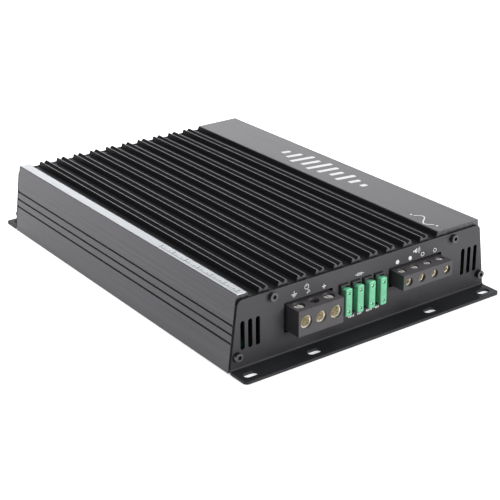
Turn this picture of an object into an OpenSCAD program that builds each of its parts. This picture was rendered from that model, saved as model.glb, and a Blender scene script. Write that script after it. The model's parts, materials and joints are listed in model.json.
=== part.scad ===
// Car audio power amplifier: an extruded aluminium case with folded end plates.
// X runs across the case, Y along it with the terminals at -Y, and Z is up.
// The origin is the centre of the rectangle that the amplifier stands on.

/* [Case] */
// Length of the aluminium extrusion
case_len = 280; // [280:5:360]
// Width of the extrusion at its foot
base_w = 210; // [209:1:216]
// Width of the extrusion across its top
top_w = 196.5; // [196:0.5:200]
// Height of the case
case_h = 50; // [49.5:0.5:52]
// Depth of the three grooves in each side
groove_d = 0.9; // [0.5:0.1:1.2]

/* [Cooling fins] */
// Number of fins on the top
fin_count = 10; // [6:1:10]
// Distance from one fin to the next
fin_pitch = 14.25; // [13.8:0.05:14.5]
// Width of a fin across its tip
fin_w = 5.6; // [4.6:0.1:5.8]
// Depth of the V cut along each fin's tip
notch_d = 2; // [1:0.1:2.5]
// Height of the fins above the floor between them
fin_h = 3.7; // [3:0.1:4]
// Left edge of the first fin
fin_x0 = -81.1; // [-82:0.1:-81]

/* [End plates] */
// Thickness of the folded end plates
plate_t = 2; // [1.5:0.1:2.2]
// Height of the end plates
plate_h = 46.8; // [46.5:0.1:48]
// Depth of the mounting flanges
flange_d = 16; // [15:0.5:22]
// Length of a mounting slot, end to end
slot_l = 10; // [8:0.5:14]
// Width of a mounting slot
slot_w = 5.5; // [4:0.1:6]
// Distance of the outer slots from the middle
slot_outer_x = 96; // [92:0.5:97]
// Distance of the inner slots from the middle
slot_inner_x = 48; // [40:0.5:56]
// Distance of the slots' centres from the plates' outer faces
slot_out = 8.8; // [8:0.1:11]

/* [Power terminals] */
// How far the terminal blocks stand out of the front plate
block_out = 12.5; // [11:0.5:14]
// Distance between the three power poles
power_pitch = 11.5; // [11:0.1:11.6]
// Radius of the two large cable bores
cable_r = 3.4; // [3:0.1:3.5]
// Radius of the remote wire's bore
remote_r = 2.9; // [2.5:0.1:3]

/* [Speaker terminals] */
// Distance between the four speaker poles
speaker_pitch = 10.8; // [10:0.1:10.9]
// Radius of the speaker wires' bores
speaker_r = 2.2; // [1.9:0.1:2.3]

/* [Fuses] */
// Distance between the four blade fuses
fuse_pitch = 9.45; // [9.2:0.05:9.6]
// How far a fuse stands out of the front plate
fuse_out = 6; // [4:0.1:8]

/* [Rear controls] */
// Distance between the four knobs
knob_pitch = 17; // [15:0.5:18]
// Radius of a knob
knob_r = 4.4; // [4:0.1:5.5]
// Travel of the phase switch
switch_travel = 4; // [3:0.5:4]

/* [Inside] */
// Number of power transistors along each side wall
device_count = 6; // [4:1:6]
// Distance between the transistors
device_pitch = 24; // [23:0.5:26]
// Outer radius of the transformer's core
transformer_r = 23; // [20:1:24]

/* [Hidden] */
$fn = 48;
end_y = case_len / 2;
face_y = end_y + plate_t;
clear = 0.3;
hair = 0.05;
seat_sides = 12;

// Extrusion
side_lean = (base_w - top_w) / 2;
foot_gap = 0.2;
floor_z = case_h - fin_h;
fin_lean = 1.4;
fin_land = 0.8;
groove_z = [19.2, 24.8, 30.5];
groove_half = 0.7;
rail_w = 8.05;
panel_x = 62;
strip_w = 6.9;
strip_t = 0.4;
strip_gap = 0.75;
wall_t = 3;
web_z = floor_z - 4;
pocket_z = 45.3;
pocket_x = [66, 94];
pocket_slope = 3.2;
ledge_x = 93;
ledge_z = 1.9;
ledge_t = 3;
shelf_x = 89;
shelf_z = 7.4;
shelf_t = 2;
pad_face_x = 97.2;
pad_face_z = 14;

// Screws, all M3
thread_r = 1.5;
shank_r = 1.45;
head_r = 2.75;
head_h = 3;
hex_r = 1.45;
hex_depth = 1.6;
low_screw_x = base_w / 2 - 5.5;
low_screw_z = 11;
low_boss_r = 3.2;
top_screw_x = 73.7;
top_screw_z = 43.4;
left_boss_r = 2.8;
plate_screw_len = 10;

// End plates
leaf_inset = 0.3;
leaf_corner_r = 4;
flange_half = base_w / 2 - 0.4;
flange_corner_r = 3;
bend_in_r = 1.2;
bend_out_r = 2;
vent_x = [84, 89.6, 95.2];
vent_w = 3;
vent_z = [14, 33];

// Bottom cover
cover_t = 1.5;
cover_z = 0.3;
cover_half = base_w / 2 - 3.4;
cover_pocket_x = cover_half + clear;
cover_screw_x = 97;
cover_screw_y = [-120, 0, 120];
cover_head_r = 2.9;
cover_screw_len = 5.5;
cover_hex_r = 1;
cover_hex_depth = 0.9;

// Main board
board_t = 1.6;
board_z = shelf_z + shelf_t;
board_top = board_z + board_t;
board_half = 95.6;
board_end = end_y - 5;
board_screw_x = 92;
board_screw_y = [-126, -48, 48, 126];
pan_h = 2;
board_screw_len = 5;

// Terminal blocks
block_front = -face_y - block_out;
block_back = -end_y + 13;
neck_y = -end_y + clear;
screw_y = -face_y - 5;
power_x = -45.75;
power_half = 17.25;
power_z = [17.3, 34.3];
power_bore_z = 26.2;
power_setback = 1.2;
power_screw_r = [3.1, 2.4, 3.1];
power_screw_z = [[29.9, 33.1], [29.4, 31.6], [29.9, 33.1]];
power_hole_r = [4, 3.5, 4];
power_wire_r = [cable_r, remote_r, cable_r];
speaker_x = 41.4;
speaker_half = 21;
speaker_z = [24.5, 34.8];
speaker_bore_z = 29.6;
speaker_setback = 2;
speaker_screw_r = 2.1;
speaker_screw_z = [32.1, 34.2];
speaker_hole_r = 2.8;
sleeve_end = -end_y + 8;
bore_end = -end_y + 5;
sleeve_t = 0.9;
speaker_sleeve_t = 0.65;
mouth = 0.4;
drive_w = 1.1;
drive_d = 1;
power_window = [[-64.4, -27.1], [15.9, 35.7]];
speaker_window = [[18.9, 63.9], [22.9, 36.1]];

// Blade fuses
fuse_w = 19.1;
fuse_t = 5.3;
fuse_body = 11.5;
fuse_head = 5;
fuse_waist_w = 17;
fuse_waist_t = 3.9;
fuse_mid_x = -4.3;
fuse_z = 25.05;
blade_w = 5.2;
blade_t = 0.7;
blade_z = 4.7;
blade_len = 7;
test_hole_r = 0.7;
test_hole_z = 6.3;
collar_out = 2;
collar_x = 3.45;
collar_z = 10.75;
fuse_window_x = 3.75;
fuse_window_z = 11.15;
fuse_front_y = -face_y - fuse_out;
fuse_seat_y = fuse_front_y + fuse_body;
holder_back = -end_y + 19;
holder_wall = 1;
jaw_t = 0.6;
jaw_w = 5.6;
jaw_gap = blade_t / 2 + clear;
jaw_y = [fuse_seat_y + 0.5, fuse_seat_y + blade_len + 0.8];

// Rear panel
control_z = 28;
knob_x0 = -26;
knob_out = 7;
knob_stem_r = 3;
pointer_w = 0.8;
pointer_d = 0.6;
pointer_z = 0.6;
knob_hole_r = 3.5;
shaft_r = 1.9;
pot_half = 5.5;
pot_top = 34.5;
pot_front = end_y - 3;
pot_len = 10;
rca_x = 52;
rca_spacing = 14;
rca_half = [14.2, 7.6];
rca_face = face_y + 1.6;
rca_back = end_y - 18;
rca_len = 8.4;
shell_seat = rca_face - 4;
contact_seat = rca_face - 2;
shell_r = 4.15;
shell_seat_r = 3.85;
shell_t = 0.7;
contact_r = 1.65;
contact_t = 0.3;
insulator_end = 7;
remote_x = -70;
remote_half = [6.6, 6.6];
remote_y = [end_y - 16, face_y + 0.5];
socket_half = [4.9, 3.6];
socket_depth = 12;
latch_half = 1.6;
latch_h = 1.4;
latch_depth = 6;
switch_x = -47;
switch_half = [6.4, 4];
switch_y = [end_y - 11, end_y - 3];
slider_slot_y = end_y - 8;
slider_back = end_y - 7;
slider_half = 1.7;
slider_out = 3.6;
slider_room = 0.5;
led_x = 74;
led_z = [24.5, 31.5];
led_r = 1.5;
led_y = [end_y - 6, face_y + 0.6];

// Control board
control_board_z = 18.4;
control_top = control_board_z + board_t;
control_half = 80;
control_y = [end_y - 44, end_y - 3.5];
spacer_x = 75;
spacer_y = [end_y - 40, end_y - 20];
spacer_r = 2.8;

// Power stage
device_size = [5, 15.9, 20.8];
device_z = 15.2;
pad_t = 0.3;
bar_t = 3;
bar_z = [22.6, 32.6];
device_screw_z = 27.6;
device_screw_bite = 3;
lead_pitch = 5.4;
lead_half = [0.35, 0.6];
pad_margin = [1, 0.5];

// Chips: first place, pitch, number, distance from the origin along Y, and size
control_chip_rows = [
    [-40, 20, 4, end_y - 32, [10, 6.4, 2]],
    [54, 12, 2, end_y - 32, [5, 4, 1.6]]
];
driver_chip_rows = [
    [-60, 24, 6, 66, [19, 6.4, 3.4]],
    [-48, 24, 5, 48, [10, 4, 1.8]]
];

// Wound parts
core_lift = 1.8;
wire_gap = 0.3;
wire_d = 1.4;
transformer_at = [-45, -56];
transformer_ring = [transformer_r, 12.5, 20, 30];
coil_at = [45, -56];
coil_ring = [19, 10, 17, 24];
choke_x = [-62, -30];
choke_y = -119.4;
choke_r = 4;
choke_z = board_top + 7.4;
choke_turns = 12;
choke_margin = 3;
choke_wire_r = 1;
choke_loop_r = choke_r + 1.2;

// Capacitors
input_can_x = [-74, -56];
input_can_y = [10, 28];
input_can = [8, 28];
rail_can_x = [-26, 0, 26, 52];
rail_can_y = 8;
rail_can = [11, 29];
vent_groove_z = 2.5;
vent_groove_h = 1;
vent_groove_d = 0.6;

// ---------- Helpers ----------

// Limits that lie the same distance to each side of a middle
function span(mid, half) = [mid - half, mid + half];

// Limits at side s = -1 or 1, given as they are at side 1
function mirrored(s, limits) = s > 0 ? limits : [-limits[1], -limits[0]];

// Block from its limits along each axis
module block(x, y, z) {
    translate([x[0], y[0], z[0]])
        cube([x[1] - x[0], y[1] - y[0], z[1] - z[0]]);
}

// Rod along Y
module rod_y(x, y, z, r) {
    translate([x, y[0], z])
        rotate([-90, 0, 0])
            cylinder(h = y[1] - y[0], r = r);
}

// Twelve-sided blind seat along Y, just wide enough for a round piece of radius r
module seat_y(x, y, z, r) {
    translate([x, y[0], z])
        rotate([-90, 0, 0])
            cylinder(h = y[1] - y[0], r = (r + hair) / cos(180 / seat_sides), $fn = seat_sides);
}

// Rod along X
module rod_x(x, y, z, r) {
    translate([x[0], y, z])
        rotate([0, 90, 0])
            cylinder(h = x[1] - x[0], r = r);
}

// Rod along Z
module rod_z(x, y, z, r) {
    translate([x, y, z[0]])
        cylinder(h = z[1] - z[0], r = r);
}

// Front-view outline, drawn in X and Z, as a sheet between two places along Y
module front_sheet(y) {
    translate([0, y[1], 0])
        rotate([90, 0, 0])
            linear_extrude(height = y[1] - y[0])
                children();
}

// Points of an arc about a centre
function arc(c, r, a0, a1, steps = 8) =
    [for (i = [0:steps]) let(a = a0 + (a1 - a0) * i / steps) [c[0] + r * cos(a), c[1] + r * sin(a)]];

// A list of points turned end for end
function reversed(pts) = [for (i = [len(pts) - 1:-1:0]) pts[i]];

// Outer face of the leaning side at height z, and the inner face behind it
function side_x(z) = base_w / 2 - side_lean * z / case_h;
function wall_x(z) = side_x(z) - wall_t;

function power_pole_x(i) = power_x + (i - 1) * power_pitch;
function speaker_pole_x(i) = speaker_x + (i - 1.5) * speaker_pitch;
function fuse_x(i) = fuse_mid_x + (i - 1.5) * fuse_pitch;
function knob_x(i) = knob_x0 + i * knob_pitch;
function device_y(i) = (i - (device_count - 1) / 2) * device_pitch;

// ---------- Extruded case ----------

// Outline of one V groove in a side face, from its lower edge to its upper edge
function groove_outline(z) = [
    [side_x(z - groove_half), z - groove_half],
    [side_x(z) - groove_d, z],
    [side_x(z + groove_half), z + groove_half]
];

// One side face from foot to top, with its three V grooves
function side_outline(s) = concat(
    [[s * side_x(foot_gap), foot_gap]],
    [for (z = groove_z) for (p = groove_outline(z)) [s * p[0], p[1]]],
    [[s * side_x(case_h), case_h]]
);

// One fin, left to right
function fin_outline(x) = [
    [x - fin_lean, floor_z],
    [x, case_h],
    [x + fin_land, case_h],
    [x + fin_w / 2, case_h - notch_d],
    [x + fin_w - fin_land, case_h],
    [x + fin_w, case_h],
    [x + fin_w + fin_lean, floor_z]
];

// Top face left to right: rail with the strip's recess, the fins, then the flat panel
rail_x0 = -top_w / 2;
strip_x = [rail_x0 + strip_gap, rail_x0 + strip_gap + strip_w];
function top_outline() = concat(
    [
        [strip_x[0], case_h],
        [strip_x[0], case_h - strip_t],
        [strip_x[1], case_h - strip_t],
        [strip_x[1], case_h],
        [rail_x0 + rail_w, case_h],
        [rail_x0 + rail_w + fin_lean, floor_z]
    ],
    [for (i = [0:fin_count - 1]) for (p = fin_outline(fin_x0 + i * fin_pitch)) p],
    [[panel_x - fin_lean, floor_z], [panel_x, case_h]]
);

// One side of the channel inside, from the foot to the web
function channel_side(s) = [
    [s * cover_pocket_x, -1],
    [s * cover_pocket_x, ledge_z],
    [s * ledge_x, ledge_z],
    [s * ledge_x, ledge_z + ledge_t],
    [s * wall_x(ledge_z + ledge_t), ledge_z + ledge_t],
    [s * wall_x(shelf_z), shelf_z],
    [s * shelf_x, shelf_z],
    [s * shelf_x, shelf_z + shelf_t],
    [s * wall_x(shelf_z + shelf_t), shelf_z + shelf_t],
    [s * wall_x(pad_face_z), pad_face_z],
    [s * pad_face_x, pad_face_z],
    [s * pad_face_x, web_z]
];
function channel_outline() = concat(
    channel_side(1),
    [
        [pocket_x[1], pocket_z],
        [pocket_x[0], pocket_z],
        [pocket_x[0] - pocket_slope, web_z]
    ],
    reversed(channel_side(-1))
);

// Places of the four end plate screws, in X and Z
plate_screws = [
    [-low_screw_x, low_screw_z],
    [low_screw_x, low_screw_z],
    [-top_screw_x, top_screw_z],
    [top_screw_x, top_screw_z]
];

module case_section() {
    difference() {
        union() {
            difference() {
                polygon(concat(side_outline(-1), top_outline(), reversed(side_outline(1))));
                polygon(channel_outline());
            }
            for (s = [-1, 1])
                translate([s * low_screw_x, low_screw_z])
                    circle(r = low_boss_r);
            translate([-top_screw_x, top_screw_z])
                circle(r = left_boss_r);
            translate([top_screw_x, top_screw_z])
                circle(r = low_boss_r);
        }
        for (p = plate_screws)
            translate(p)
                circle(r = thread_r);
    }
}

module heatsink_body() {
    color("dimgray")
        difference() {
            front_sheet([-end_y, end_y])
                case_section();
            for (s = [-1, 1]) {
                for (y = cover_screw_y)
                    rod_z(s * cover_screw_x, y, [ledge_z - 1, ledge_z + ledge_t + 1], thread_r);
                for (y = board_screw_y)
                    rod_z(s * board_screw_x, y, [shelf_z - 1, shelf_z + shelf_t + 1], thread_r);
                for (i = [0:device_count - 2])
                    rod_x(
                        mirrored(s, [pad_face_x - 1, pad_face_x + device_screw_bite]),
                        device_y(i + 0.5), device_screw_z, thread_r
                    );
            }
        }
}

// Bare metal strip let into the left rail
module trim_strip() {
    color("gainsboro")
        block([strip_x[0] + hair, strip_x[1] - hair], [-end_y, end_y], [case_h - strip_t, case_h]);
}

module bottom_cover() {
    color("dimgray")
        difference() {
            block([-cover_half, cover_half], [clear - end_y, end_y - clear], [cover_z, cover_z + cover_t]);
            for (s = [-1, 1])
                for (y = cover_screw_y)
                    translate([s * cover_screw_x, y, cover_z - hair])
                        cylinder(h = cover_t + 2 * hair, r1 = cover_head_r, r2 = thread_r);
        }
}

module bottom_cover_screws() {
    color("silver")
        for (s = [-1, 1])
            for (y = cover_screw_y)
                translate([s * cover_screw_x, y, cover_z])
                    difference() {
                        union() {
                            cylinder(h = cover_t, r1 = cover_head_r - hair, r2 = shank_r);
                            cylinder(h = cover_screw_len, r = shank_r);
                        }
                        translate([0, 0, -hair])
                            cylinder(h = cover_hex_depth + hair, r = cover_hex_r, $fn = 6);
                    }
}

// ---------- Folded end plates ----------

// Upright leaf, seen from the front
function leaf_side(z) = side_x(z) - leaf_inset;
lean_angle = atan(side_lean / case_h);
leaf_corner_x = leaf_side(plate_h - leaf_corner_r) - leaf_corner_r / cos(lean_angle);
function leaf_outline() = concat(
    [[-leaf_side(0), 0]],
    arc([-leaf_corner_x, plate_h - leaf_corner_r], leaf_corner_r, 180 - lean_angle, 90),
    arc([leaf_corner_x, plate_h - leaf_corner_r], leaf_corner_r, 90, lean_angle),
    [[leaf_side(0), 0]]
);

// Flat slot through a plate lying in X and Y
module flange_slot(x) {
    reach = slot_l / 2 - slot_w / 2;
    y = -face_y - slot_out;
    translate([x, y, -1])
        union() {
            translate([-reach, -slot_w / 2, 0])
                cube([2 * reach, slot_w, plate_t + 2]);
            for (s = [-1, 1])
                translate([s * reach, 0, 0])
                    cylinder(h = plate_t + 2, r = slot_w / 2);
        }
}

// Upright air slot with round ends
module vent_slot(x) {
    y = [-face_y - 1, 1 - end_y];
    z = [vent_z[0] + vent_w / 2, vent_z[1] - vent_w / 2];
    block(span(x, vent_w / 2), y, z);
    for (end_z = z)
        rod_y(x, y, end_z, vent_w / 2);
}

// Folded plate at the front end, with what both plates share
module plate_blank() {
    out_y = -face_y - flange_d;
    inner_x = flange_half - flange_corner_r;
    difference() {
        union() {
            front_sheet([-face_y, -end_y])
                polygon(leaf_outline());
            block([-flange_half, flange_half], [out_y + flange_corner_r, -end_y], [0, plate_t]);
            block([-inner_x, inner_x], [out_y, -end_y], [0, plate_t]);
            for (s = [-1, 1])
                rod_z(s * inner_x, out_y + flange_corner_r, [0, plate_t], flange_corner_r);
            difference() {
                block(
                    [-flange_half, flange_half],
                    [-face_y - bend_in_r, -face_y + hair],
                    [plate_t - hair, plate_t + bend_in_r]
                );
                rod_x([-base_w, base_w], -face_y - bend_in_r, plate_t + bend_in_r, bend_in_r);
            }
        }
        difference() {
            block([-base_w, base_w], [-end_y - bend_out_r, 1 - end_y], [-1, bend_out_r]);
            rod_x([-base_w - 1, base_w + 1], -end_y - bend_out_r, bend_out_r, bend_out_r);
        }
        for (s = [-1, 1]) {
            for (x = vent_x)
                vent_slot(s * x);
            for (x = [slot_inner_x, slot_outer_x])
                flange_slot(s * x);
        }
        for (p = plate_screws)
            rod_y(p[0], [-face_y - 1, 1 - end_y], p[1], thread_r);
    }
}

// Window through the front leaf, from its limits in X and Z
module window(x, z) {
    block(x, [-face_y - 1, 1 - end_y], z);
}

module front_panel() {
    color("dimgray")
        difference() {
            plate_blank();
            window(power_window[0], power_window[1]);
            window(speaker_window[0], speaker_window[1]);
            for (i = [0:3])
                window(span(fuse_x(i), fuse_window_x), span(fuse_z, fuse_window_z));
        }
}

module rear_panel() {
    wall = [end_y - 1, face_y + 1];
    color("dimgray")
        difference() {
            mirror([0, 1, 0])
                plate_blank();
            block(span(rca_x, rca_half[0] + clear), wall, span(control_z, rca_half[1] + clear));
            block(span(remote_x, remote_half[0] + clear), wall, span(control_z, remote_half[1] + clear));
            block(
                [switch_x - slider_half - slider_room, switch_x + switch_travel + slider_half + slider_room],
                wall,
                span(control_z, slider_half + slider_room)
            );
            for (i = [0:3])
                rod_y(knob_x(i), wall, control_z, knob_hole_r);
            for (z = led_z)
                rod_y(led_x, wall, z, led_r + 0.1);
        }
}

// Socket-head screws of the front plate
module plate_screw_set() {
    for (p = plate_screws)
        difference() {
            union() {
                rod_y(p[0], [-face_y - head_h, -face_y], p[1], head_r);
                rod_y(p[0], [-face_y, -face_y + plate_screw_len], p[1], shank_r);
            }
            translate([p[0], -face_y - head_h - hair, p[1]])
                rotate([-90, 0, 0])
                    cylinder(h = hex_depth + hair, r = hex_r, $fn = 6);
        }
}

module front_panel_screws() {
    color("darkgray")
        plate_screw_set();
}

module rear_panel_screws() {
    color("darkgray")
        mirror([0, 1, 0])
            plate_screw_set();
}

// ---------- Front terminals ----------

module power_terminal_housing() {
    color("dimgray")
        difference() {
            union() {
                block(span(power_x, power_half), [block_front, neck_y], power_z);
                block(span(power_x, power_half), [neck_y - hair, block_back], [board_top, power_z[1]]);
            }
            for (i = [0:2]) {
                r = power_wire_r[i] + sleeve_t;
                y = block_front + power_setback;
                rod_y(power_pole_x(i), [block_front - 1, y], power_bore_z, r + hair);
                seat_y(power_pole_x(i), [y - hair, sleeve_end + hair], power_bore_z, r);
                rod_z(power_pole_x(i), screw_y, [power_bore_z, power_z[1] + 1], power_hole_r[i]);
            }
        }
}

module speaker_terminal_housing() {
    color("dimgray")
        difference() {
            union() {
                block(span(speaker_x, speaker_half), [block_front, neck_y], speaker_z);
                block(span(speaker_x, speaker_half), [neck_y - hair, block_back], [board_top, speaker_z[1]]);
            }
            for (i = [0:3]) {
                r = speaker_r + speaker_sleeve_t;
                y = block_front + speaker_setback;
                rod_y(speaker_pole_x(i), [block_front - 1, y], speaker_bore_z, r + hair);
                seat_y(speaker_pole_x(i), [y - hair, sleeve_end + hair], speaker_bore_z, r);
                rod_z(speaker_pole_x(i), screw_y, [speaker_bore_z, speaker_z[1] + 1], speaker_hole_r);
            }
        }
}

// Metal sleeve with a blind wire bore, open to the clamp screw above.
// The place is the middle of the sleeve's front end.
module sleeve(place, bore, wall, screw) {
    translate(place)
        difference() {
            rod_y(0, [0, sleeve_end - place[1]], 0, bore + wall);
            rod_y(0, [-1, bore_end - place[1]], 0, bore);
            translate([0, -hair, 0])
                rotate([-90, 0, 0])
                    cylinder(h = mouth + hair, r1 = bore + mouth + hair, r2 = bore);
            rod_z(0, screw_y - place[1], [0, bore + wall + 1], screw + hair);
        }
}

module power_terminal_sleeves() {
    y = block_front + power_setback;
    color("khaki")
        for (i = [0:2])
            sleeve([power_pole_x(i), y, power_bore_z], power_wire_r[i], sleeve_t, power_screw_r[i]);
}

module speaker_terminal_sleeves() {
    y = block_front + speaker_setback;
    color("khaki")
        for (i = [0:3])
            sleeve([speaker_pole_x(i), y, speaker_bore_z], speaker_r, speaker_sleeve_t, speaker_screw_r);
}

// Slotted clamp screw
module clamp_screw(x, z, r) {
    color("silver")
        difference() {
            rod_z(x, screw_y, z, r);
            block(span(x, drive_w / 2), span(screw_y, r + 1), [z[1] - drive_d, z[1] + 1]);
        }
}

module power_clamp_screw(i) {
    clamp_screw(power_pole_x(i), power_screw_z[i], power_screw_r[i]);
}

module speaker_clamp_screw(i) {
    clamp_screw(speaker_pole_x(i), speaker_screw_z, speaker_screw_r);
}

// ---------- Fuses ----------

module fuse_holder() {
    body_half = collar_x + holder_wall;
    color("dimgray")
        difference() {
            union() {
                block(
                    [fuse_x(0) - body_half, fuse_x(3) + body_half],
                    [neck_y, holder_back],
                    [board_top, fuse_z + fuse_window_z + holder_wall]
                );
                for (i = [0:3])
                    block(
                        span(fuse_x(i), collar_x),
                        [-face_y - collar_out, neck_y + 1],
                        span(fuse_z, collar_z)
                    );
            }
            for (i = [0:3]) {
                block(
                    span(fuse_x(i), fuse_t / 2 + clear),
                    [-face_y - collar_out - 1, fuse_seat_y + clear],
                    span(fuse_z, fuse_w / 2 + clear)
                );
                for (s = [-1, 1])
                    block(
                        span(fuse_x(i), jaw_gap + jaw_t + hair),
                        [fuse_seat_y, fuse_seat_y + blade_len + 1],
                        span(fuse_z + s * blade_z, jaw_w / 2 + hair)
                    );
            }
        }
}

// Two-sided spring contacts for the eight blades
module fuse_contacts() {
    color("goldenrod")
        for (i = [0:3])
            for (s = [-1, 1])
                for (k = [-1, 1])
                    block(
                        span(fuse_x(i) + k * (jaw_gap + jaw_t / 2), jaw_t / 2),
                        jaw_y,
                        span(fuse_z + s * blade_z, jaw_w / 2)
                    );
}

// Moulded fuse body with a head, a narrower waist and two test holes
module fuse_body(i) {
    x = fuse_x(i);
    head_back = fuse_front_y + fuse_head;
    color("mediumaquamarine")
        difference() {
            union() {
                block(span(x, fuse_t / 2), [fuse_front_y, head_back], span(fuse_z, fuse_w / 2));
                block(
                    span(x, fuse_waist_t / 2),
                    [head_back - hair, fuse_seat_y],
                    span(fuse_z, fuse_waist_w / 2)
                );
            }
            for (s = [-1, 1]) {
                rod_y(
                    x,
                    [fuse_front_y - 1, head_back - fuse_head / 2],
                    fuse_z + s * test_hole_z,
                    test_hole_r
                );
                block(
                    span(x, blade_t / 2 + hair),
                    [fuse_seat_y - fuse_head, fuse_seat_y + 1],
                    span(fuse_z + s * blade_z, blade_w / 2 + hair)
                );
            }
        }
}

module fuse_blades(i) {
    x = fuse_x(i);
    color("silver")
        for (s = [-1, 1])
            block(
                span(x, blade_t / 2),
                [fuse_seat_y - fuse_head, fuse_seat_y + blade_len],
                span(fuse_z + s * blade_z, blade_w / 2)
            );
}

// ---------- Rear sockets and controls ----------

module rca_housing() {
    color("dimgray")
        difference() {
            block(span(rca_x, rca_half[0]), [rca_back, rca_face], span(control_z, rca_half[1]));
            for (s = [-1, 1])
                seat_y(rca_x + s * rca_spacing / 2, [shell_seat, rca_face + 1], control_z, shell_seat_r);
        }
}

// Tube along Y at each of the two jacks
module jack_tubes(y, outer, inner) {
    for (s = [-1, 1])
        difference() {
            rod_y(rca_x + s * rca_spacing / 2, y, control_z, outer);
            rod_y(rca_x + s * rca_spacing / 2, [y[0] - 1, y[1] + 1], control_z, inner);
        }
}

module rca_shells() {
    color("silver") {
        jack_tubes([rca_face, rca_face + rca_len], shell_r, shell_r - shell_t);
        jack_tubes([shell_seat, rca_face + hair], shell_seat_r, shell_r - shell_t);
    }
}

module rca_insulators() {
    outer = shell_r - shell_t - hair;
    inner = contact_r + contact_t + hair;
    color("firebrick")
        jack_tubes([shell_seat, rca_face + insulator_end], outer, inner);
}

module rca_contacts() {
    color("gold")
        jack_tubes([contact_seat, rca_face + insulator_end], contact_r + contact_t, contact_r);
}

// Round knob on its own shaft, with a pointer groove across its end
module control_knob(i) {
    x = knob_x(i);
    end = face_y + knob_out;
    color("dimgray")
        difference() {
            union() {
                rod_y(x, [face_y + clear, end], control_z, knob_r);
                rod_y(x, [pot_front + clear, face_y + clear + hair], control_z, knob_stem_r);
                rod_y(x, [pot_front - pot_len / 2, pot_front + clear + hair], control_z, shaft_r);
            }
            block(
                span(x, pointer_w / 2),
                [end - pointer_d, end + 1],
                [control_z + pointer_z, control_z + knob_r + 1]
            );
        }
}

module potentiometers() {
    shaft_y = pot_front - pot_len / 2 - clear;
    color("darkslategray")
        for (i = [0:3])
            difference() {
                block(span(knob_x(i), pot_half), [pot_front - pot_len, pot_front], [control_top, pot_top]);
                rod_y(knob_x(i), [shaft_y, pot_front + 1], control_z, shaft_r + hair);
            }
}

module phase_switch() {
    mid = switch_x + switch_travel / 2;
    color("silver")
        difference() {
            block(span(mid, switch_half[0]), switch_y, [control_top, control_z + switch_half[1]]);
            block(
                [switch_x - slider_half - clear, switch_x + switch_travel + slider_half + clear],
                [slider_slot_y, end_y],
                span(control_z, slider_half + clear)
            );
        }
}

module phase_slider() {
    color("white")
        block(span(switch_x, slider_half), [slider_back, face_y + slider_out], span(control_z, slider_half));
}

module remote_level_socket() {
    color("dimgray")
        difference() {
            block(span(remote_x, remote_half[0]), remote_y, span(control_z, remote_half[1]));
            block(
                span(remote_x, socket_half[0]),
                [face_y - socket_depth, face_y + 1],
                span(control_z, socket_half[1])
            );
            block(
                span(remote_x, latch_half),
                [face_y - latch_depth, face_y + 1],
                [control_z - socket_half[1] - latch_h, control_z]
            );
        }
}

module status_leds() {
    color("limegreen")
        for (z = led_z) {
            rod_y(led_x, led_y, z, led_r);
            translate([led_x, led_y[1], z])
                sphere(r = led_r);
        }
}

// ---------- Boards ----------

module main_board() {
    color("darkgreen")
        difference() {
            block([-board_half, board_half], [-board_end, board_end], [board_z, board_top]);
            for (s = [-1, 1])
                for (y = board_screw_y)
                    rod_z(s * board_screw_x, y, [board_z - 1, board_top + 1], thread_r + hair);
        }
}

module main_board_screws() {
    color("silver")
        for (s = [-1, 1])
            for (y = board_screw_y) {
                rod_z(s * board_screw_x, y, [board_top, board_top + pan_h], head_r);
                rod_z(s * board_screw_x, y, [board_top - board_screw_len, board_top], shank_r);
            }
}

module control_board() {
    color("darkgreen")
        difference() {
            block([-control_half, control_half], control_y, [control_board_z, control_top]);
            for (s = [-1, 1])
                for (y = spacer_y)
                    rod_z(s * spacer_x, y, [control_board_z - 1, control_top + 1], thread_r + hair);
        }
}

// Threaded spacers with the screw heads that hold the control board down
module control_board_spacers() {
    color("silver")
        for (s = [-1, 1])
            for (y = spacer_y) {
                rod_z(s * spacer_x, y, [board_top, control_board_z], spacer_r);
                rod_z(s * spacer_x, y, [control_board_z - hair, control_top + hair], shank_r);
                rod_z(s * spacer_x, y, [control_top, control_top + pan_h], head_r);
            }
}

// Rows of flat chips on a board whose top is at height z
module chip_rows(rows, z) {
    for (row = rows)
        for (i = [0:row[2] - 1])
            translate([row[0] + i * row[1] - row[4][0] / 2, row[3] - row[4][1] / 2, z])
                cube(row[4]);
}

module control_chips() {
    color("black")
        chip_rows(control_chip_rows, control_top);
}

module driver_chips() {
    color("black")
        chip_rows(driver_chip_rows, board_top);
}

// ---------- Wound parts and capacitors ----------

// Toroid core lying flat. A ring is its outer radius, hole radius, height and number of turns.
module ring_core(at, ring) {
    translate([at[0], at[1], board_top + core_lift])
        difference() {
            cylinder(h = ring[2], r = ring[0]);
            translate([0, 0, -1])
                cylinder(h = ring[2] + 2, r = ring[1]);
        }
}

// Square turns of thick wire around a ring core
module ring_winding(at, ring) {
    loop_r = (ring[0] + ring[1]) / 2;
    loop_w = ring[0] - ring[1] + 2 * wire_gap;
    loop_h = ring[2] + 2 * wire_gap;
    translate([at[0], at[1], board_top + core_lift - wire_gap])
        for (i = [0:ring[3] - 1])
            rotate([0, 0, i * 360 / ring[3]])
                translate([loop_r, wire_d / 2, 0])
                    rotate([90, 0, 0])
                        linear_extrude(height = wire_d)
                            difference() {
                                translate([-loop_w / 2 - wire_d, -wire_d])
                                    square([loop_w + 2 * wire_d, loop_h + 2 * wire_d]);
                                translate([-loop_w / 2, 0])
                                    square([loop_w, loop_h]);
                            }
}

module transformer_core() {
    color("olivedrab")
        ring_core(transformer_at, transformer_ring);
}

module transformer_winding() {
    color("peru")
        ring_winding(transformer_at, transformer_ring);
}

module output_coil_core() {
    color("darkkhaki")
        ring_core(coil_at, coil_ring);
}

module output_coil_winding() {
    color("peru")
        ring_winding(coil_at, coil_ring);
}

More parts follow.
